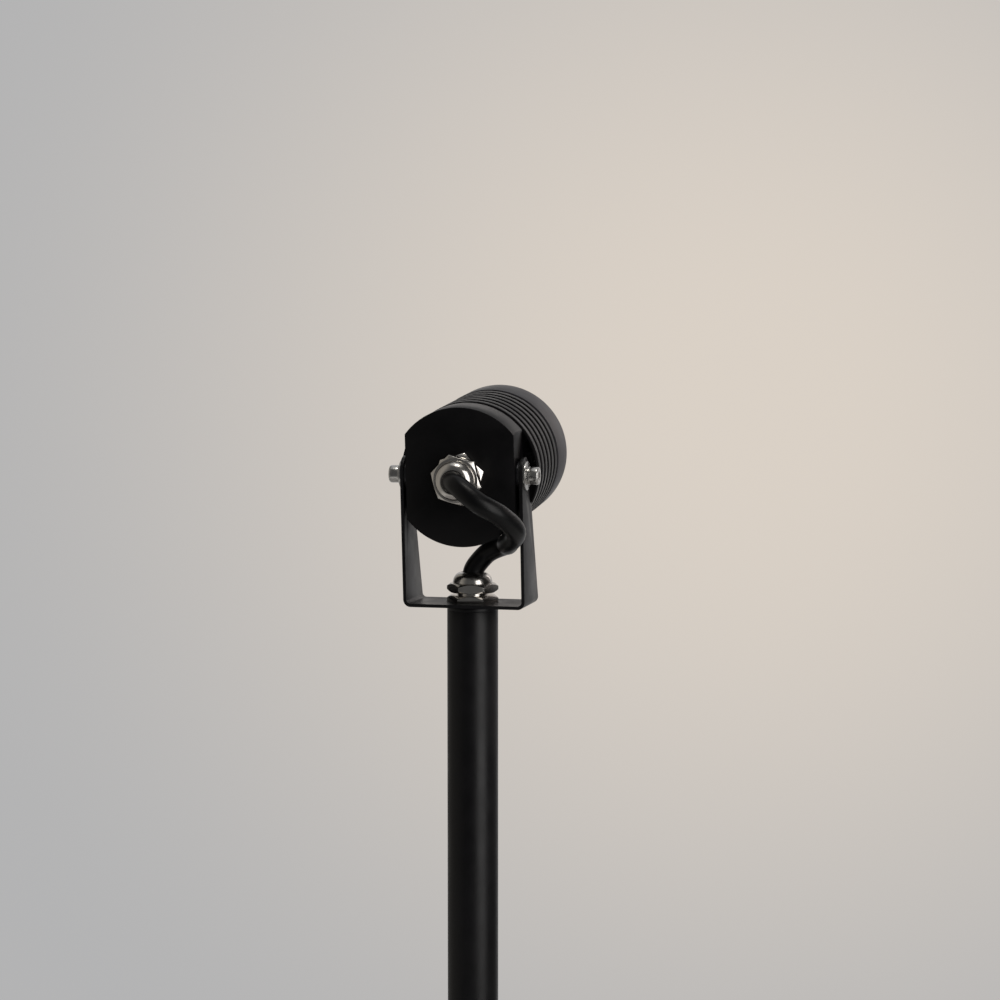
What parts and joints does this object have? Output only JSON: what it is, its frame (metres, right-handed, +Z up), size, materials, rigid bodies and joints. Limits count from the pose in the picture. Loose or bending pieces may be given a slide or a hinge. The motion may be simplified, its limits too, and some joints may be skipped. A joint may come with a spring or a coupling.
{
  "type": "adjustable garden spotlight on a pole",
  "caption": "Finned round spotlight head tilting in a U bracket that swivels on a pole with a round foot plate; a short lead joins head and pole through two glands.",
  "frame": {"origin": "on the pole's axis at the underside of the foot plate", "axes": "+Z up along the pole, the head looks along +Y, hinge axis along X"},
  "size_m": [0.14, 0.14, 0.6067],
  "materials": {
    "pole_paint": "near-black satin paint over brushed steel tube",
    "foot_paint": "fine-textured near-black powder coat",
    "bracket_paint": "near-black satin powder coat",
    "head_paint": "near-black fine matt powder coat on turned aluminium",
    "nickel": "bright nickel-plated brass",
    "steel": "stainless steel, turned",
    "dark_steel": "blackened steel, turned",
    "rubber": "black rubber, slightly sheened",
    "nylon": "black nylon",
    "fibre": "dark fibre washer",
    "raw_aluminium": "turned, unpainted",
    "bright_reflector": "polished and anodised",
    "driver_case": "potted plastic case",
    "thermal_pad": "grey-blue silicone pad",
    "board": "white solder mask",
    "emitter": "yellow phosphor gel",
    "white_plastic": "moulded",
    "core_wires": "insulated cores",
    "glass": "clear toughened glass"
  },
  "bodies": {
    "stand": {"foot_plate": "foot_paint", "foot_collar": "foot_paint", "collar_grub_screws": "steel", "foot_grommet": "rubber", "pole_tube": "pole_paint", "pole_plug": "pole_paint", "swivel_washer": "fibre"},
    "bracket": {"u_bracket": "bracket_paint", "lower_gland_body": "nickel", "lower_cap_nut": "nickel", "lower_gland_seal": "rubber", "lower_gland_ring": "rubber", "gland_locknut": "nickel", "wave_washer": "steel", "connection_lead": "rubber", "lead_splice": "nylon"},
    "head": {"hinge_screws": "steel", "spring_washers": "steel", "flat_washers": "steel", "friction_discs": "nylon", "hinge_spacers": "dark_steel", "head_housing": "head_paint", "rear_gland_body": "nickel", "rear_cap_nut": "nickel", "rear_gland_seal": "rubber", "rear_gland_ring": "rubber", "driver": "driver_case", "driver_wires": "core_wires", "driver_pad": "thermal_pad", "heat_spreader": "raw_aluminium", "spreader_screws": "steel", "board_pad": "thermal_pad", "lamp_board": "board", "lamp_emitter": "emitter", "lamp_holder": "white_plastic", "board_screws": "steel", "lamp_wires": "core_wires", "reflector": "bright_reflector", "glass_gasket": "rubber", "front_glass": "glass", "front_bezel": "head_paint"}
  },
  "joints": [
    {"name": "bracket_swivel", "type": "hinge", "parent": "stand", "child": "bracket", "pos_m": [0, 0, 0.5005], "axis": [0, 0, 1], "range_deg": [-175, 175]},
    {"name": "head_tilt", "type": "hinge", "parent": "bracket", "child": "head", "pos_m": [0, -0.0164, 0.5651], "axis": [1, 0, 0], "range_deg": [-1.5, 45], "deforming": ["connection_lead"]}
  ]
}
